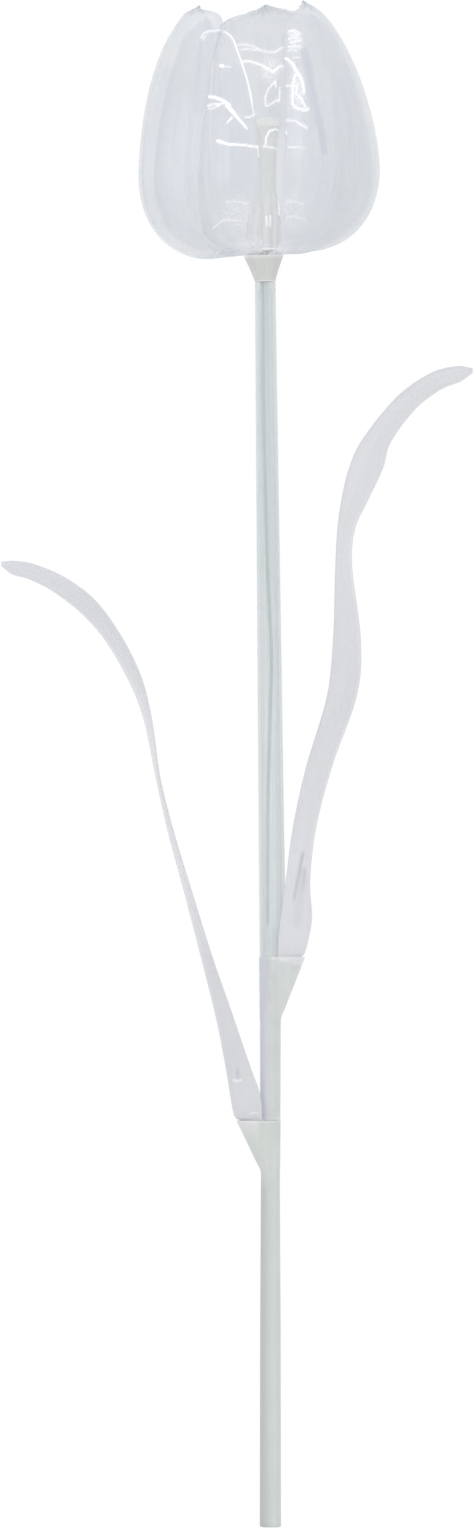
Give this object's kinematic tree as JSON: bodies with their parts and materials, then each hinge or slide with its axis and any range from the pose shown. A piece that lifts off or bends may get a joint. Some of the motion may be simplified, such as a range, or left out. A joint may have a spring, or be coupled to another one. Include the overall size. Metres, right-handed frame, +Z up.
{
  "type": "artificial tulip",
  "caption": "Clear plastic tulip: a cup of overlapping petals round a pistil on a plug-together wired stem, with plug-in channelled leaves.",
  "frame": {"origin": "centre of the stem's cut end", "axes": "+Z up the lower stem, towards the flower; the pictured front of the flower faces -Y, and the taller leaf is on the +X side"},
  "size_m": [0.1546, 0.078, 0.5002],
  "materials": {
    "clear_plastic": "clear, glossy, slightly blue",
    "translucent_plastic": "translucent, satin",
    "milky_plastic": "milky, satin",
    "wire_steel": "dull drawn wire"
  },
  "bodies": {
    "lower_section": {"lower_stem": "milky_plastic", "lower_wire": "wire_steel"},
    "middle_section": {"middle_stem": "translucent_plastic", "middle_wire": "wire_steel"},
    "upper_section": {"upper_stem": "clear_plastic", "upper_wire": "wire_steel"},
    "flower_head": {"receptacle": "milky_plastic", "pistil": "milky_plastic", "outer_petal_left": "clear_plastic", "outer_petal_right": "clear_plastic", "outer_petal_back": "clear_plastic", "inner_petal_front": "clear_plastic", "inner_petal_right": "clear_plastic", "inner_petal_back": "clear_plastic"},
    "right_leaf_body": {"right_leaf": "clear_plastic"},
    "left_leaf_body": {"left_leaf": "clear_plastic"}
  },
  "joints": [
    {"name": "middle_turn", "type": "hinge", "parent": "lower_section", "child": "middle_section", "pos_m": [0, 0, 0.1335], "axis": [0, 0, 1], "continuous": true},
    {"name": "upper_turn", "type": "hinge", "parent": "middle_section", "child": "upper_section", "pos_m": [0.0008, 0, 0.1872], "axis": [-0.0113, 0, 0.9999], "continuous": true},
    {"name": "head_turn", "type": "hinge", "parent": "upper_section", "child": "flower_head", "pos_m": [-0.00171, 0, 0.40849], "axis": [-0.0113, 0, 0.9999], "continuous": true},
    {"name": "right_leaf_pull", "type": "slide", "parent": "middle_section", "child": "right_leaf_body", "axis": [0.3616, 0, 0.9323], "range_m": [0, 0.006]},
    {"name": "left_leaf_pull", "type": "slide", "parent": "lower_section", "child": "left_leaf_body", "axis": [-0.4293, 0, 0.9032], "range_m": [0, 0.006]}
  ]
}
